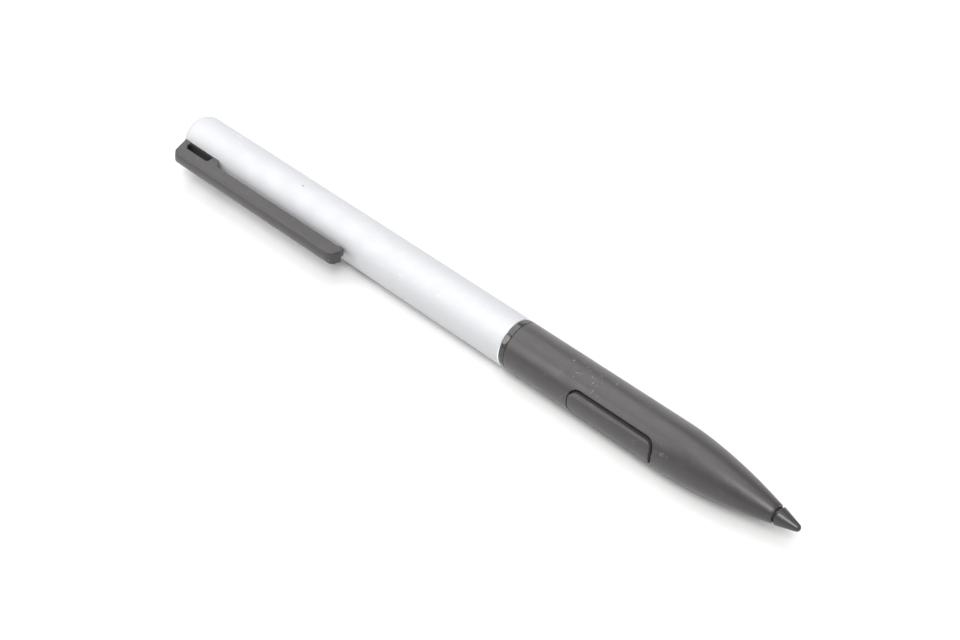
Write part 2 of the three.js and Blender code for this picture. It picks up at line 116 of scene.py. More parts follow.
def turned(name, outline, sides=144, loop=False, crease=32):
    """A body of revolution about the pen's axis from an outline of (x, r) points."""
    points, rings = [], []
    for x, r in outline:
        count = sides if r > 1e-6 else 1
        rings.append(range(len(points), len(points) + count))
        for k in range(count):
            angle = 2 * math.pi * k / sides
            points.append((x, r * math.sin(angle), r * math.cos(angle)))
    faces = []
    for a, b in zip(rings, rings[1:] + ([rings[0]] if loop else [])):
        for k in range(sides):
            n = (k + 1) % sides
            corners = [a[k % len(a)], a[n % len(a)], b[n % len(b)], b[k % len(b)]]
            faces.append(list(dict.fromkeys(corners)))
    return solid(name, points, faces, crease)


def add(tree, kind, settings=None, **inputs):
    """One shader node; an input given as a socket is linked, any other is set."""
    made = tree.nodes.new("ShaderNode" + kind)
    for key, value in (settings or {}).items():
        setattr(made, key, value)
    for key, value in inputs.items():
        name = int(key[1:]) if key[0] == "i" and key[1:].isdigit() else key.replace("_", " ")
        if isinstance(value, bpy.types.NodeSocket):
            tree.links.new(value, made.inputs[name])
        else:
            made.inputs[name].default_value = value
    return made


def calc(tree, operation, a, b=0.0):
    return add(tree, "Math", {"operation": operation}, i0=a, i1=b).outputs[0]


def ramp(tree, value, low, high, to_low=0.0, to_high=1.0):
    made = add(tree, "MapRange", {"interpolation_type": "SMOOTHSTEP"}, Value=value,
               From_Min=low, From_Max=high, To_Min=to_low, To_Max=to_high)
    return made.outputs[0]


def mix(tree, share, one, other):
    made = add(tree, "Mix", {"data_type": "RGBA"}, i0=share, i6=one, i7=other)
    return made.outputs[2]


def apart(tree, place, spot):
    """How far a place lies from a spot of the scene, in metres."""
    return add(tree, "VectorMath", {"operation": "DISTANCE"}, i0=place, i1=spot).outputs["Value"]


def rgba(colour, scale=1.0):
    return (*[min(1.0, c * scale) for c in colour], 1.0)


def noise(tree, place, size, detail=3.0, stretch=None):
    """Noise whose lumps are about that many millimetres across, from 0 to 1."""
    if stretch:
        place = add(tree, "VectorMath", {"operation": "MULTIPLY"}, i0=place, i1=stretch).outputs[0]
    made = add(tree, "TexNoise", Vector=place, Scale=1 / size, Detail=detail, Roughness=0.55)
    return made.outputs["Fac"]


def hairlines(tree, place, size, width, stretch, cover):
    """Thin wandering lines that run mostly one way, in patches."""
    lines = noise(tree, place, size, 1.5, stretch)
    thin = ramp(tree, calc(tree, "ABSOLUTE", calc(tree, "SUBTRACT", lines, 0.5)), 0.0, width, 1, 0)
    patches = ramp(tree, noise(tree, place, size * 1.7, 2.0), cover, cover + 0.12)
    return calc(tree, "MULTIPLY", thin, patches)


def specks(tree, place, spacing, size, share):
    """Separate small spots: a share of the cells holds one, each a little different in size."""
    cells = add(tree, "TexVoronoi", Vector=place, Scale=1 / spacing, Randomness=1.0)
    pick = add(tree, "SeparateColor", Color=cells.outputs["Color"])
    reach = calc(tree, "MULTIPLY", pick.outputs[1], size / spacing)
    spot = calc(tree, "LESS_THAN", cells.outputs["Distance"], reach)
    held = calc(tree, "GREATER_THAN", pick.outputs[0], calc(tree, "SUBTRACT", 1.0, share))
    return calc(tree, "MULTIPLY", spot, held)


def edges(tree, place, width):
    """How far a spot lies on an outer edge, broken up as handling wears it."""
    soft = add(tree, "Bevel", {"samples": 8}, Radius=width * MM)
    true = add(tree, "NewGeometry")
    facing = add(tree, "VectorMath", {"operation": "DOT_PRODUCT"},
                 i0=soft.outputs[0], i1=true.outputs["Normal"]).outputs["Value"]
    edge = ramp(tree, facing, 0.72, 0.985, 1, 0)
    broken = ramp(tree, noise(tree, place, 0.7, 4.0), 0.3, 0.62, 0.25, 1)
    return calc(tree, "MULTIPLY", edge, broken)


def finish(name, colour, roughness, metallic=0.0, grain=0.15, relief=0.004, mottle=0.08,
           patchy=0.05, wear=None, worn=0.0, scratch=0.0, scratched=None, dust=0.0, dusty=None,
           gathered=(), stain=None, stained=None, specular=0.5, coat=0.0, sheen=0.0):
    """One material: even colour broken by grain, mottling, hairlines, worn edges, dust, a stain."""
    material = bpy.data.materials.new(name)
    material.use_nodes = True
    tree = material.node_tree
    shader = tree.nodes["Principled BSDF"]
    own = add(tree, "TexCoord").outputs["Object"]
    place = add(tree, "VectorMath", {"operation": "SCALE"}, i0=own, Scale=1 / MM).outputs[0]
    broad = noise(tree, place, 9.0, 5.0)
    fine = noise(tree, place, grain, 4.0)
    shade = ramp(tree, broad, 0.25, 0.75)
    look = mix(tree, shade, rgba(colour, 1 - mottle), rgba(colour, 1 + mottle))
    rough = ramp(tree, noise(tree, place, 4.0, 4.0), 0.25, 0.75,
                 roughness - patchy, roughness + patchy)
    height = calc(tree, "MULTIPLY", fine, relief)
    if scratch:
        lines = hairlines(tree, place, 2.2, 0.012, (0.25, 1.6, 1.6), 0.5)
        look = mix(tree, calc(tree, "MULTIPLY", lines, scratch), look, rgba(scratched))
        rough = calc(tree, "SUBTRACT", rough, calc(tree, "MULTIPLY", lines, scratch * 0.1))
        height = calc(tree, "SUBTRACT", height, calc(tree, "MULTIPLY", lines, 0.002))
    if wear:
        edge = calc(tree, "MULTIPLY", edges(tree, place, 0.12), worn)
        look = mix(tree, edge, look, rgba(wear))
        rough = calc(tree, "SUBTRACT", rough, calc(tree, "MULTIPLY", edge, 0.12))
    if dust:
        share = dust
        for spot, reach, more in gathered:
            near = apart(tree, own, spot)
            extra = ramp(tree, near, reach * MM * 0.35, reach * MM, more, 0)
            share = calc(tree, "ADD", extra, share)
        curls = hairlines(tree, place, 1.1, 0.035, (1, 1, 1), 0.56)
        lint = calc(tree, "MAXIMUM", specks(tree, place, 0.8, 0.13, share),
                    specks(tree, place, 0.4, 0.09, share))
        curled = calc(tree, "MULTIPLY", curls, calc(tree, "MULTIPLY", share, 1.6))
        lint = calc(tree, "MAXIMUM", lint, curled)
        look = mix(tree, calc(tree, "MULTIPLY", lint, 0.7), look, rgba(dusty))
        height = calc(tree, "ADD", height, calc(tree, "MULTIPLY", lint, 0.01))
    if stain:
        point, reach = stain
        near = apart(tree, own, point)
        ragged = calc(tree, "MULTIPLY", noise(tree, place, 0.3, 3.0), reach * MM * 1.6)
        look = mix(tree, calc(tree, "LESS_THAN", near, ragged), look, rgba(stained))
    bump = add(tree, "Bump", Strength=1.0, Distance=MM, Height=height)
    tree.links.new(look, shader.inputs["Base Color"])
    tree.links.new(calc(tree, "MAXIMUM", rough, 0.03), shader.inputs["Roughness"])
    tree.links.new(bump.outputs[0], shader.inputs["Normal"])
    shader.inputs["Metallic"].default_value = metallic
    shader.inputs["Specular IOR Level"].default_value = specular
    shader.inputs["Coat Weight"].default_value = coat
    shader.inputs["Coat Roughness"].default_value = 0.08
    shader.inputs["Sheen Weight"].default_value = sheen
    return material


def settle(piece, body, stood_for, slot, *looks):
    """The piece takes its looks, rides on its body and stands for its CAD pieces."""
    for look in looks:
        piece.data.materials.append(look)
    if body:
        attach(piece, body)
    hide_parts(*stood_for)


def faces_between(piece, low_x, high_x, index):
    """Gives the faces whose middle lies in that stretch of the pen the look with that number."""
    for face in piece.data.polygons:
        x = (face.center.x - mouth.x) / MM
        if low_x < x < high_x:
            face.material_index = index


blasted = finish("blasted anodised aluminium", (0.58, 0.585, 0.60), 0.76, 0.86, grain=0.09,
                 relief=0.002, mottle=0.012, patchy=0.03, scratch=0.2,
                 scratched=(0.9, 0.9, 0.92), wear=(0.92, 0.92, 0.93), worn=0.5,
                 stain=(laid @ Vector((-55.05, 4.62, 1.02)), 0.33), stained=(0.42, 0.38, 0.33))
bare_cut = finish("bare turned aluminium", (0.90, 0.90, 0.91), 0.22, 1.0, grain=0.05,
                  relief=0.001, mottle=0.02)

tail = -BARREL_LENGTH
barrel = turned("barrel", rounded([
    (tail, 0, 0), (tail, BARREL_R, TAIL_ROUNDING), (-0.16, BARREL_R, 0.03),
    (0, BARREL_R - 0.17, 0.03), (0, MOUTH_R, 0.05), (-MOUTH_DEPTH, MOUTH_R, 0),
    (-MOUTH_DEPTH - 0.4, BORE_R, 0), (tail + TAIL_WALL, BORE_R, 0.6),
    (tail + TAIL_WALL, 0, 0)], steps=8), sides=192)
settle(barrel, "rear_body", ["barrel_tube"], "satin_aluminium", blasted, bare_cut)
faces_between(barrel, -0.2, 0.01, 1)

# ---------------------------------------------------------------------------------------------
# Clip: one moulding in black glass-filled plastic. Its head lies on the barrel over a
# lanyard eye; the arm springs, and a foot under its end grips.
# ---------------------------------------------------------------------------------------------
CLIP_WIDTH = 2.55
CLIP_EDGE = 0.22
CLIP_CROWN = 0.38
CROWN_FROM_Z = 8
CLIP_SEAT_Z = 4.35
CLIP_MESH_STEP = 0.9
EYE_ROOF_Z = 6.65
# Where the faces inside the lanyard eye are painted darker, as painted shade.
EYE_SHADE_X = (-84.3, -76.5)
EYE_SHADE_TOP_Z = 6.8
EYE_SHADE_HALF = 1.05
EYE_SHADE_FLOOR_Z = 5.1


def stepped(outline, longest):
    """The same closed outline with no straight stretch longer than that."""
    points = []
    for here, there in zip(outline, outline[1:] + outline[:1]):
        parts = max(1, math.ceil((there - here).length / longest))
        points += [here.lerp(there, k / parts) for k in range(parts)]
    return points


def side_moulding(outline, width, edge, crown=0.0):
    """A side outline of (x, z) points, moulded to a width across the pen with rounded edges.
    The outer face is crowned: that much lower at its sides than along its middle."""
    half = width / 2
    bends = [math.pi / 2 * k / 5 for k in range(6)]
    rows = [(-half + edge * (1 - math.cos(a)), edge * (1 - math.sin(a))) for a in bends]
    rows += [((half - edge) * (k / 3 - 1), 0.0) for k in range(1, 6)]
    rows += [(-y, inset) for y, inset in rows[5::-1]]
    count = len(outline)
    area = sum(outline[k - 1].cross(outline[k]) for k in range(count))
    points = []
    for y, inset in rows:
        for k, here in enumerate(outline):
            along = (outline[(k + 1) % count] - outline[k - 1]).normalized()
            out = Vector((along.y, -along.x)) * math.copysign(1, area)
            facing = max(0, out.y) ** 4 if here.y > CROWN_FROM_Z else 0
            spot = here - out * (inset + crown * facing * (y / half) ** 2)
            points.append((spot.x, y, spot.y))
    faces = [[i * count + k, i * count + (k + 1) % count, (i + 1) * count + (k + 1) % count,
              (i + 1) * count + k] for i in range(len(rows) - 1) for k in range(count)]
    faces.append(list(range(count)))
    faces.append(list(range(len(points) - count, len(points))))
    return points, faces


def joined(*shapes):
    points, faces = [], []
    for more_points, more_faces in shapes:
        faces += [[i + len(points) for i in face] for face in more_faces]
        points += list(more_points)
    return points, faces


moulded = finish("moulded black plastic", (0.038, 0.035, 0.0365), 0.44, grain=0.12, relief=0.006,
                 mottle=0.10, patchy=0.06, wear=(0.11, 0.11, 0.11), worn=0.35, scratch=0.25,
                 scratched=(0.13, 0.13, 0.13), dust=0.015, dusty=(0.4, 0.39, 0.38),
                 gathered=((laid @ Vector((-38.8, -1.2, 8.0)), 3.5, 0.3),), sheen=0.10)

# A darker black for the inside of the lanyard eye: painted shade, where little light gets in.
eye_painted_shade = finish("black plastic darkened as painted shade in the lanyard eye", (0.018, 0.0175, 0.018), 0.7, grain=0.2,
                   relief=0.01, mottle=0.15, specular=0.2)

clip_side = stepped(rounded([
    (-86.4, CLIP_SEAT_Z, 0), (-83.8, 9.45, 1.5), (-38.2, 9.0, 1.5), (-37.75, 6.45, 0.5),
    (-39.3, 5.84, 0.5), (-74.2, 6.12, 0.6), (-75.9, CLIP_SEAT_Z, 0), (-77.5, CLIP_SEAT_Z, 0),
    (-76.9, EYE_ROOF_Z, 0.4), (-83.2, EYE_ROOF_Z, 0.2), (-84.2, 5.65, 0.2),
    (-84.2, CLIP_SEAT_Z, 0)], loop=True), CLIP_MESH_STEP)
eye_foot = stepped(rounded([
    (-84.4, CLIP_SEAT_Z, 0), (-84.4, 5.05, 0), (-77.3, 5.05, 0),
    (-77.3, CLIP_SEAT_Z, 0)], loop=True), CLIP_MESH_STEP)
arm_foot = stepped(rounded([
    (-40.7, 6.2, 0), (-40.0, 4.98, 0.4), (-38.7, 4.98, 0.4), (-38.3, 6.4, 0)], loop=True), CLIP_MESH_STEP)
clip = solid("clip", *joined(side_moulding(clip_side, CLIP_WIDTH, CLIP_EDGE, CLIP_CROWN),
                             side_moulding(arm_foot, CLIP_WIDTH * 0.55, 0.12),
                             side_moulding(eye_foot, CLIP_WIDTH - 0.1, 0.06)))
settle(clip, None, ["clip_head", "clip_arm"], "clip_plastic", moulded, eye_painted_shade)
unlaid = laid.inverted()
# The faces inside the lanyard eye take the darker look: painted shade in the recess.
for face in clip.data.polygons:
    x, y, z = unlaid @ face.center
    in_eye_shade = EYE_SHADE_X[0] < x < EYE_SHADE_X[1] and z < EYE_SHADE_TOP_Z
    if in_eye_shade and (abs(y) < EYE_SHADE_HALF or z < EYE_SHADE_FLOOR_Z):
        face.material_index = 1
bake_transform(clip)

# ---------------------------------------------------------------------------------------------
# Collar: a narrow polished black ring, pressed on the barrel's mouth as a border to the grip.
# ---------------------------------------------------------------------------------------------
COLLAR_R = 4.68
COLLAR_WIDTH = 1.09

gloss = finish("polished black plastic", (0.035, 0.033, 0.034), 0.09, grain=0.6, relief=0.0006,
               mottle=0.08, patchy=0.03, scratch=0.25, scratched=(0.12, 0.12, 0.12),
               wear=(0.12, 0.12, 0.12), worn=0.4)
collar = turned("collar", rounded([
    (0.02, MOUTH_R, 0.02), (0.02, COLLAR_R, 0.05), (COLLAR_WIDTH, COLLAR_R, 0.05),
    (COLLAR_WIDTH, MOUTH_R, 0.02)], loop=True), sides=192, loop=True, crease=60)
settle(collar, "rear_body", ["collar_ring"], "gloss_black", gloss)

# ---------------------------------------------------------------------------------------------
# Power: one small alkaline cell in the barrel, against a sprung steel contact in the tail.
# ---------------------------------------------------------------------------------------------
CELL_REAR_X = -63.2
CELL_FRONT_X = -22.2
CELL_R = 3.85
SLEEVE_BORE = 3.88
SLEEVE_R = 4.08
SPRING_WIRE = 0.25
SPRING_TURNS = 6
SPRING_STEPS = 32
SPRING_REAR_X = -73.3
SPRING_FRONT_X = -63.5
SPRING_REAR_R = 3.2
SPRING_NARROWING = 1.4

steel = finish("plated steel", (0.60, 0.60, 0.61), 0.28, 1.0, grain=0.3, relief=0.002,
               mottle=0.05, scratch=0.5, scratched=(0.75, 0.75, 0.76))
label = finish("printed cell sleeve", (0.08, 0.20, 0.16), 0.35, grain=0.5, relief=0.002,
               mottle=0.10, coat=0.3, scratch=0.3, scratched=(0.25, 0.35, 0.3))
rubber = finish("black rubber", (0.025, 0.025, 0.026), 0.62, grain=0.1, relief=0.004,
                mottle=0.15, dust=0.05, dusty=(0.3, 0.3, 0.3), specular=0.4)
insert_grey = finish("grey moulded plastic", (0.16, 0.17, 0.18), 0.45, grain=0.12, relief=0.006,
                     mottle=0.06, wear=(0.3, 0.3, 0.31), worn=0.4)

cell = turned("cell_can", rounded([
    (CELL_REAR_X, 0, 0), (CELL_REAR_X, CELL_R, 0.35), (CELL_FRONT_X, CELL_R, 0.35),
    (CELL_FRONT_X, 0, 0)]), sides=96)
settle(cell, "rear_body", ["battery_can"], "steel", steel)
sleeve = turned("cell_sleeve", rounded([
    (-62.7, SLEEVE_BORE, 0), (-62.7, SLEEVE_R, 0.08), (-22.7, SLEEVE_R, 0.08),
    (-22.7, SLEEVE_BORE, 0)]),
    sides=96, loop=True)
settle(sleeve, "rear_body", ["battery_sleeve"], "cell_label", label)
nub = turned("cell_nub", rounded([
    (-22.18, 0, 0), (-22.18, 2.0, 0.1), (-21.9, 1.88, 0.1), (-20.7, 1.88, 0.25),
    (-20.7, 0, 0)]), sides=64)
settle(nub, "rear_body", ["battery_nub"], "steel", steel)


def spring_line():
    """A cone of wire that closes up flat at both ends."""
    points = []
    count = SPRING_TURNS * SPRING_STEPS
    for k in range(count + 1):
        t = k / count
        rise = min(1, max(0, (t - 0.09) / 0.82))
        angle = 2 * math.pi * SPRING_TURNS * t
        r = SPRING_REAR_R - SPRING_NARROWING * t
        x = SPRING_REAR_X + (SPRING_FRONT_X - SPRING_REAR_X) * rise
        points.append((x, r * math.cos(angle), r * math.sin(angle)))
    return points


def wire(name, line, radius):
    """A round wire along a line of pen points, as a mesh."""
    curve = bpy.data.curves.new(name, "CURVE")
    curve.dimensions = "3D"
    curve.bevel_depth = radius
    curve.bevel_resolution = 4
    curve.use_fill_caps = True
    path = curve.splines.new("POLY")
    path.points.add(len(line) - 1)
    for point, place in zip(path.points, line):
        point.co = (*place, 1)
    shape = bpy.data.objects.new(name, curve)
    mesh = bpy.data.meshes.new_from_object(shape)
    points = [tuple(v.co) for v in mesh.vertices]
    faces = [list(f.vertices) for f in mesh.polygons]
    bpy.data.objects.remove(shape)
    return solid(name, points, faces)


spring = wire("cell_spring", spring_line(), SPRING_WIRE)
settle(spring, "rear_body", ["battery_spring"], "steel", steel)

for kept, look, slot in (("tail_insert", insert_grey, "inner_plastic"),
                         ("clip_lock_pin", steel, "steel"), ("tail_contact", steel, "steel"),
                         ("battery_washer", rubber, "seal_rubber")):
    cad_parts[kept].data.materials.clear()
    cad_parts[kept].data.materials.append(look)

# ---------------------------------------------------------------------------------------------
# Neck: the front half's grey spigot, a push fit in the barrel's mouth. A rubber ring in its
# groove holds it there, and a brass contact at its rear end meets the cell.
# ---------------------------------------------------------------------------------------------
GRIP_REAR_X = 1.17
NECK_REAR_X = -20
NECK_FRONT_X = 7.97
NECK_REAR_R = 3.98
NECK_R = 4.28
NECK_FRONT_R = 4.02
NECK_BORE = 3.52
GROOVE_R = 3.79
SEAL_X = -1.1
SEAL_R = 4.09
SEAL_CORD = 0.26

brass = finish("brass", (0.72, 0.56, 0.28), 0.25, 1.0, grain=0.3, relief=0.002, mottle=0.08,
               scratch=0.5, scratched=(0.85, 0.72, 0.45), patchy=0.08)
neck = turned("neck", rounded([
    (NECK_REAR_X, 1.2, 0), (NECK_REAR_X, NECK_REAR_R, 0.35), (-6.4, NECK_REAR_R, 0.1),
    (-6.1, NECK_R, 0.1), (-1.5, NECK_R, 0.08), (-1.5, GROOVE_R, 0.05), (-0.7, GROOVE_R, 0.05),
    (-0.7, NECK_R, 0.08), (1.12, NECK_R, 0.05), (1.12, NECK_FRONT_R, 0.05),
    (NECK_FRONT_X, NECK_FRONT_R, 0.1), (NECK_FRONT_X, NECK_BORE, 0), (-19, NECK_BORE, 0),
    (-19, 1.2, 0)], loop=True), loop=True)
settle(neck, "front_body", ["spigot"], "inner_plastic", insert_grey)

seal_line = [(SEAL_X - SEAL_CORD * math.cos(a), SEAL_R + SEAL_CORD * math.sin(a))
             for a in (2 * math.pi * k / 24 for k in range(24))]
seal = turned("rubber_ring", seal_line, loop=True, crease=80)
settle(seal, "front_body", ["seal_ring"], "seal_rubber", rubber)

contact = turned("cell_contact", rounded([
    (-20.65, 0, 0), (-20.65, 1.4, 0.3), (-20.35, 2.17, 0.1), (-20.05, 2.17, 0.05),
    (-20.05, 1.1, 0.02), (-17.8, 1.1, 0.05), (-17.8, 0, 0)]), sides=64)
settle(contact, "front_body", ["front_contact"], "brass", brass)

# ---------------------------------------------------------------------------------------------
# Grip: a plastic shell with a soft rubbery coat, straight behind and drawn in to the nose.
# The long slot for the button is cut through its wall with a softened lip. The front half
# sits turned a few degrees in the barrel.
# ---------------------------------------------------------------------------------------------
FRONT_TURN = math.radians(4)
GRIP_R = 4.68
GRIP_WALL = 0.6
TAPER_START = 35
NOSE_X = 54.6
NOSE_BORE = 1.35
GRIP_SIDES = 160
TAPER_RATE = 0.01686
TAPER_POWER = 1.74
TAPER_STEPS = 30
WINDOW_SIDES = 20
WINDOW_REAR_X = 13.9
WINDOW_BARS = 42
WINDOW_X = [WINDOW_REAR_X + (TAPER_START - WINDOW_REAR_X) * k / WINDOW_BARS
            for k in range(WINDOW_BARS + 1)]
SLOT_REAR_X = 15.4
SLOT_FRONT_X = 33.4
SLOT_HALF = 2.7
SLOT_CORNER = 1.9
SLOT_LIP = 0.10

soft = finish("soft touch coat", (0.034, 0.030, 0.0315), 0.385, grain=0.10, relief=0.002,
              mottle=0.08, patchy=0.05, wear=(0.12, 0.115, 0.115), worn=0.35, scratch=0.2,
              scratched=(0.10, 0.10, 0.10), dust=0.03, dusty=(0.36, 0.35, 0.34),
              gathered=((laid @ Vector((17.6, 4.63, 0.67)), 6.5, 0.42),
                        (laid @ Vector((34.4, 1.2, 4.5)), 3, 0.3),
                        (laid @ Vector((14.6, -1.5, 4.5)), 3, 0.3)), sheen=0.12)


def grip_radius(x):
    return GRIP_R - TAPER_RATE * max(0, x - TAPER_START) ** TAPER_POWER


def grip_rows():
    """The shell's section as a closed loop of (x, r), outside to the nose and back inside,
    and where the window's rows start on each side."""
    outer = rounded([(GRIP_REAR_X, GRIP_R - GRIP_WALL, 0), (GRIP_REAR_X, GRIP_R, 0.06),
                     (WINDOW_REAR_X, GRIP_R, 0)])[:-1]
    outer_at = len(outer)
    outer += [Vector((x, GRIP_R)) for x in WINDOW_X]
    for k in range(1, TAPER_STEPS + 1):
        x = TAPER_START + (NOSE_X - 0.12 - TAPER_START) * k / TAPER_STEPS
        outer.append(Vector((x, grip_radius(x))))
    tip = grip_radius(NOSE_X)
    outer += [Vector((NOSE_X - 0.03, tip - 0.06)), Vector((NOSE_X, tip - 0.14))]
    inner = [Vector((NOSE_X, NOSE_BORE + 0.08)), Vector((NOSE_X - 0.08, NOSE_BORE))]
    for k in range(TAPER_STEPS - 1, 0, -1):
        x = TAPER_START + (NOSE_X - TAPER_START) * k / TAPER_STEPS
        inner.append(Vector((x, max(NOSE_BORE, grip_radius(x) - GRIP_WALL))))
    inner_at = len(outer) + len(inner)
    inner += [Vector((x, GRIP_R - GRIP_WALL)) for x in reversed(WINDOW_X)]
    return outer + inner, outer_at, inner_at


def slot_point(x, angle, spread):
    """The point on the slot's outline, moved out by spread, that faces a place on the shell."""
    there = Vector((x, GRIP_R * angle))
    middle = (SLOT_REAR_X + SLOT_FRONT_X) / 2
    reach = (SLOT_FRONT_X - SLOT_REAR_X) / 2 - SLOT_CORNER
    side = SLOT_HALF - SLOT_CORNER
    core = Vector((middle + min(max(there.x - middle, -reach), reach),
                   min(max(there.y, -side), side)))
    return core + (there - core).normalized() * (SLOT_CORNER + spread)


def grip_mesh():
    rows, outer_at, inner_at = grip_rows()
    bars = WINDOW_BARS
    step = 2 * math.pi / GRIP_SIDES
    points = [(x, r * math.sin(k * step), r * math.cos(k * step))
              for x, r in rows for k in range(GRIP_SIDES)]
    faces = []
    for i in range(len(rows)):
        open_row = outer_at <= i < outer_at + bars or inner_at <= i < inner_at + bars
        for k in range(-GRIP_SIDES // 2, GRIP_SIDES // 2):
            if open_row and -WINDOW_SIDES <= k < WINDOW_SIDES:
                continue
            a, b = i * GRIP_SIDES, (i + 1) % len(rows) * GRIP_SIDES
            m, n = k % GRIP_SIDES, (k + 1) % GRIP_SIDES
            faces.append([a + m, a + n, b + n, b + m])
    border = [(0, k) for k in range(-WINDOW_SIDES, WINDOW_SIDES)]
    border += [(m, WINDOW_SIDES) for m in range(bars)]
    border += [(bars, k) for k in range(WINDOW_SIDES, -WINDOW_SIDES, -1)]
    border += [(m, -WINDOW_SIDES) for m in range(bars, 0, -1)]

    def ring(radius, share, spread, drop=0.0):
        """Points of one ring round the slot: share 0 on the border, 1 on the slot's outline."""
        start = len(points)
        for m, k in border:
            x, angle = WINDOW_X[m], k * step
            on_slot = slot_point(x, angle, spread)
            across = math.asin(on_slot.y / radius)
            x += (on_slot.x - x) * share
            angle += (across - angle) * share
            points.append((x, radius * math.sin(angle), radius * math.cos(angle) - drop))
        return list(range(start, len(points)))

    outside = [[(outer_at + m) * GRIP_SIDES + k % GRIP_SIDES for m, k in border]]
    outside += [ring(GRIP_R, t, SLOT_LIP) for t in (0.3, 0.55, 0.75, 0.88, 0.96, 1)]
    for k in range(1, 6):
        bend = math.pi / 2 * k / 5
        outside.append(ring(GRIP_R, 1, SLOT_LIP * (1 - math.sin(bend)),
                            SLOT_LIP * (1 - math.cos(bend))))
    inside = [[(inner_at + bars - m) * GRIP_SIDES + k % GRIP_SIDES for m, k in border]]
    inside += [ring(GRIP_R - GRIP_WALL, t, 0) for t in (0.4, 0.75, 1)]
    rings = outside + inside[::-1]
    for a, b in zip(rings, rings[1:]):
        for k in range(len(border)):
            n = (k + 1) % len(border)
            faces.append([a[k], a[n], b[n], b[k]])
    return points, faces


grip = solid("grip", *grip_mesh(), crease=40, turn=FRONT_TURN)
settle(grip, "front_body", ["grip_shell"], "soft_black", soft)

# ---------------------------------------------------------------------------------------------
# Button: one long rocker under the thumb, coated like the grip. Its top follows the grip's
# curve, with a sloping shoulder along one side; a flange keeps it in, under the grip's wall.
# It tips on a cross pin over two switches.
# ---------------------------------------------------------------------------------------------
BUTTON_REAR_X = 15.54
BUTTON_FRONT_X = 32.85
BUTTON_HALF = 2.28
BUTTON_R = 4.66
BUTTON_SHIFT = -0.37
BUTTON_CORNER = 1.3
LOW_REAR_CORNER = 1.75
LOW_FRONT_CORNER = 0.7
BUTTON_EDGE = 0.16
BUTTON_RINGS = 26
CREASE_REAR_Y = 1.28
CREASE_DRIFT = 0.36
SHOULDER_SLOPE = 0.78
RIDGE_WIDTH = 0.025
RIDGE_HEIGHT = 0.012
SKIRT_Z = 2.9
PIVOT = Vector((24.2, 0, 2.1))
SWITCH_ARM = 6.2
PLUNGER_TOP = 1.78
FLANGE_HALF = 2.55
FLANGE_DROP = 0.2
EAR_ROOM = 1.3


def button_top(x, y):
    """Height of the top: the grip's own curve, cut by a sloping shoulder along one side."""
    along = (x - BUTTON_REAR_X) / (BUTTON_FRONT_X - BUTTON_REAR_X)
    face = math.sqrt(BUTTON_R ** 2 - y ** 2)
    crease = CREASE_REAR_Y + CREASE_DRIFT * along
    shoulder = math.sqrt(BUTTON_R ** 2 - crease ** 2) - SHOULDER_SLOPE * (y - crease)
    gap = (shoulder - face) / RIDGE_WIDTH
    return min(face, shoulder) + RIDGE_HEIGHT * math.exp(-gap * gap)


def block(x0, x1, y0, y1, z0, z1):
    points = [(x, y, z) for x in (x0, x1) for y in (y0, y1) for z in (z0, z1)]
    faces = [(0, 1, 3, 2), (4, 6, 7, 5), (0, 4, 5, 1), (2, 3, 7, 6), (0, 2, 6, 4), (1, 5, 7, 3)]
    return points, faces


def button_outline():
    """The button's edge seen from above, from its front end round to there again."""
    middle = Vector(((BUTTON_REAR_X + BUTTON_FRONT_X) / 2, 0))
    reach = (BUTTON_FRONT_X - BUTTON_REAR_X) / 2
    line = rounded([(reach, -BUTTON_HALF, LOW_FRONT_CORNER), (reach, BUTTON_HALF, BUTTON_CORNER),
                    (-reach, BUTTON_HALF, BUTTON_CORNER), (-reach, -BUTTON_HALF, LOW_REAR_CORNER)],
                   steps=12, loop=True)
    return [middle + point for point in stepped(line, 0.45)]


def button_cap():
    """Rings from the middle line out to the edge, then over it and down the skirt."""
    rear, front = BUTTON_REAR_X + BUTTON_HALF, BUTTON_FRONT_X - BUTTON_HALF
    outline = button_outline()
    spines = [Vector((min(max(point.x, rear), front), 0)) for point in outline]
    rings = [((BUTTON_HALF - BUTTON_EDGE) * k / BUTTON_RINGS, 0.0)
             for k in range(1, BUTTON_RINGS + 1)]
    for k in range(1, 6):
        bend = math.pi / 2 * k / 5
        rings.append((BUTTON_HALF - BUTTON_EDGE * (1 - math.sin(bend)),
                      BUTTON_EDGE * (1 - math.cos(bend))))
    points = []
    for r, drop in rings:
        for spine, point in zip(spines, outline):
            x, y = spine.lerp(point, r / BUTTON_HALF)
            points.append((x, y + BUTTON_SHIFT, button_top(x, y + BUTTON_SHIFT) - drop))
    edge = points[-len(outline):]
    points += [(x, y, SKIRT_Z) for x, y, z in edge]
    faces = [list(range(len(outline)))]
    for i in range(len(rings)):
        for k in range(len(outline)):
            n = (k + 1) % len(outline)
            a, b = i * len(outline), (i + 1) * len(outline)
            faces.append([a + k, a + n, b + n, b + k])
    faces.append(list(range(len(points) - len(outline), len(points))))
    return points, faces


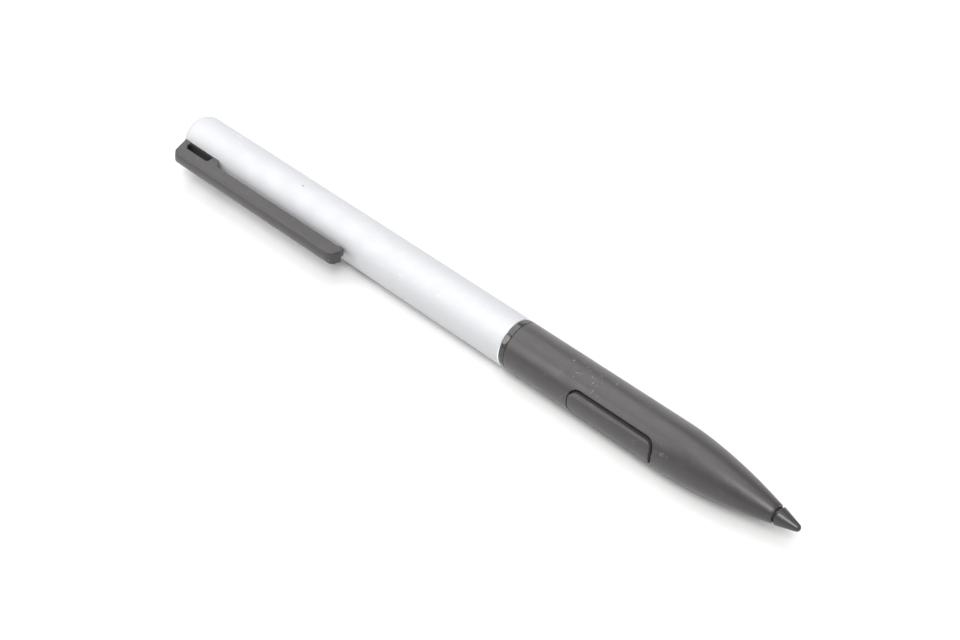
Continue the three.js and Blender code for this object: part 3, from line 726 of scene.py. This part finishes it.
button_coat = finish("button coat", (0.037, 0.033, 0.034), 0.44, grain=0.10, relief=0.003,
                     mottle=0.07, patchy=0.06, wear=(0.22, 0.22, 0.22), worn=0.6, scratch=0.3,
                     scratched=(0.12, 0.12, 0.12), dust=0.012, dusty=(0.4, 0.39, 0.38), sheen=0.12)
ribs = [block(x - 0.6, x + 0.6, -0.6, 0.6, PLUNGER_TOP + 0.04, SKIRT_Z + 0.1)
        for x in (PIVOT.x - SWITCH_ARM, PIVOT.x + SWITCH_ARM)]
cheeks = [block(PIVOT.x - 1, PIVOT.x + 1, y, y + 0.7, PIVOT.z + 0.5, SKIRT_Z + 0.1)
          for y in (-1.9, 1.2)]
flange = [block(x0, x1, -half, half, SKIRT_Z - FLANGE_DROP, SKIRT_Z + 0.05)
          for x0, x1, half in ((SLOT_REAR_X - 0.4, PIVOT.x - EAR_ROOM, FLANGE_HALF),
                               (PIVOT.x - EAR_ROOM, PIVOT.x + EAR_ROOM, FLANGE_HALF - 0.45),
                               (PIVOT.x + EAR_ROOM, SLOT_FRONT_X + 0.6, FLANGE_HALF))]
button = solid("button", *joined(button_cap(), *ribs, *cheeks, *flange), crease=40,
               turn=FRONT_TURN)
settle(button, "button", ["side_button"], "button_black", button_coat)

# ---------------------------------------------------------------------------------------------
# Inside the grip: a grey trough carrying a green circuit board, its screws, shield and chips,
# the two switches under the button, the force sensor behind the nib and the aerial ring.
# ---------------------------------------------------------------------------------------------
board_green = finish("solder mask", (0.05, 0.20, 0.10), 0.30, grain=0.8, relief=0.004,
                     mottle=0.15, scratch=0.6, scratched=(0.09, 0.30, 0.16), coat=0.3)
chip_black = finish("chip moulding", (0.022, 0.022, 0.022), 0.55, grain=0.08, relief=0.003,
                    mottle=0.12, wear=(0.08, 0.08, 0.08), worn=0.4)

inner_looks = {
    insert_grey: ("inner_plastic", ["inner_chassis", "rear_switch_body", "front_switch_body",
                                    "sensor_carrier", "boost_coil", "nib_holder"]),
    board_green: ("board", ["circuit_board"]),
    steel: ("steel", ["shield_can", "clock_crystal", "rear_screw", "front_screw", "button_pin",
                      "pressure_sensor"]),
    chip_black: ("chip_black", ["controller_chip", "rear_switch_plunger",
                                "front_switch_plunger", "nose_bush"]),
    brass: ("brass", ["sensor_lead", "antenna_ring"]),
}
for look, (slot, names) in inner_looks.items():
    for name in names:
        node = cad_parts[name]
        node.data.materials.clear()
        node.data.materials.append(look)

# ---------------------------------------------------------------------------------------------
# Nib: a hard black plastic point on a thin stem that slides a little in the nose and presses
# the force sensor. Its ball end is rubbed smooth by use.
# ---------------------------------------------------------------------------------------------
NIB_TIP_X = 58.98
NIB_TIP_R = 0.68
NIB_REAR_X = 43.3
NIB_STEM_R = 0.6
NIB_NECK_R = 1.13
NIB_BASE_X = 55.12
NIB_BASE_R = 1.66
BALL_START = 0.26

nib_black = finish("nib plastic", (0.034, 0.032, 0.032), 0.30, grain=0.12, relief=0.0006,
                   mottle=0.12, patchy=0.04, scratch=0.05, scratched=(0.14, 0.14, 0.14),
                   wear=(0.10, 0.10, 0.10), worn=0.3)
ball_x = NIB_TIP_X - NIB_TIP_R
ball = [Vector((ball_x + NIB_TIP_R * math.sin(a), NIB_TIP_R * math.cos(a)))
        for a in (BALL_START + (math.pi / 2 - BALL_START) * k / 10 for k in range(10))]
nib_side = rounded([(NIB_REAR_X, 0, 0), (NIB_REAR_X, NIB_STEM_R, 0.15), (47.9, NIB_STEM_R, 0),
                    (47.9, NIB_NECK_R, 0.1), (54.95, NIB_NECK_R, 0.05),
                    (NIB_BASE_X, NIB_BASE_R, 0.12), (ball[0].x, ball[0].y, 0)])
nib = turned("nib_point", nib_side + ball[1:] + [Vector((NIB_TIP_X, 0))], sides=96)
settle(nib, "nib_slide", ["nib"], "nib_black", nib_black)

# ---------------------------------------------------------------------------------------------
# Table: a plain white studio table. The soft light comes from cloths on the left, overhead,
# behind and above the viewer.
# ---------------------------------------------------------------------------------------------
FLOOR_HALF = 1.2
SKY_STRENGTH = 0.48

floor_shape = bmesh.new()
bmesh.ops.create_grid(floor_shape, x_segments=8, y_segments=8, size=FLOOR_HALF)
floor_mesh = bpy.data.meshes.new("table")
floor_shape.to_mesh(floor_mesh)
floor_shape.free()
table = bpy.data.objects.new("table", floor_mesh)
bpy.context.scene.collection.objects.link(table)
table.data.materials.append(finish("white table", (0.66, 0.66, 0.655), 0.6, grain=0.4,
                                   relief=0.01, mottle=0.012, patchy=0.02, specular=0.3))


def softbox(name, toward, distance, wide, high, radiance):
    """A square of lit cloth facing the pen from that direction, as bright as that."""
    lamp = bpy.data.lights.new(name, "AREA")
    lamp.shape = "RECTANGLE"
    lamp.size, lamp.size_y = wide, high
    lamp.energy = radiance * math.pi * wide * high
    holder = bpy.data.objects.new(name, lamp)
    bpy.context.scene.collection.objects.link(holder)
    way = Vector(toward).normalized()
    holder.location = mouth + way * distance
    holder.rotation_euler = way.to_track_quat("Z", "Y").to_euler()
    holder.visible_camera = False


softbox("left cloth", (-0.55, -0.65, 0.56), 0.8, 0.3, 0.5, 5.6)
softbox("overhead cloth", (-0.36, 0.07, 0.95), 0.9, 0.85, 0.9, 2.65)
softbox("back cloth", (-0.45, 0.85, 0.28), 0.9, 1.0, 0.5, 1.1)
softbox("viewer cloth", (0.38, -0.40, 0.87), 0.9, 0.4, 0.4, 12.0)

world = bpy.data.worlds.new("studio")
world.use_nodes = True
sky = world.node_tree.nodes["Background"]
sky.inputs["Color"].default_value = (1, 1, 1, 1)
sky.inputs["Strength"].default_value = SKY_STRENGTH
bpy.context.scene.world = world
bpy.context.scene.view_settings.view_transform = "Standard"

# ---------------------------------------------------------------------------------------------
# Camera: a short telephoto, above and to the nib's side of the pen.
# ---------------------------------------------------------------------------------------------
CAMERA_AZIMUTH = 43.9
CAMERA_ELEVATION = 43.12
CAMERA_DISTANCE = 0.2577
CAMERA_AIM = Vector((0.00564, 0.0022, 0.00473))
CAMERA_LENS = 55.03
CAMERA_SENSOR = 36

camera_data = bpy.data.cameras.new("camera")
camera_data.lens = CAMERA_LENS
camera_data.sensor_width = CAMERA_SENSOR
camera_data.clip_start = 0.01
camera = bpy.data.objects.new("camera", camera_data)
bpy.context.scene.collection.objects.link(camera)
turn, rise = math.radians(CAMERA_AZIMUTH), math.radians(CAMERA_ELEVATION)
back = Vector((math.sin(turn) * math.cos(rise), -math.cos(turn) * math.cos(rise), math.sin(rise)))
camera.location = CAMERA_AIM + back * CAMERA_DISTANCE
camera.rotation_euler = back.to_track_quat("Z", "Y").to_euler()
bpy.context.scene.camera = camera
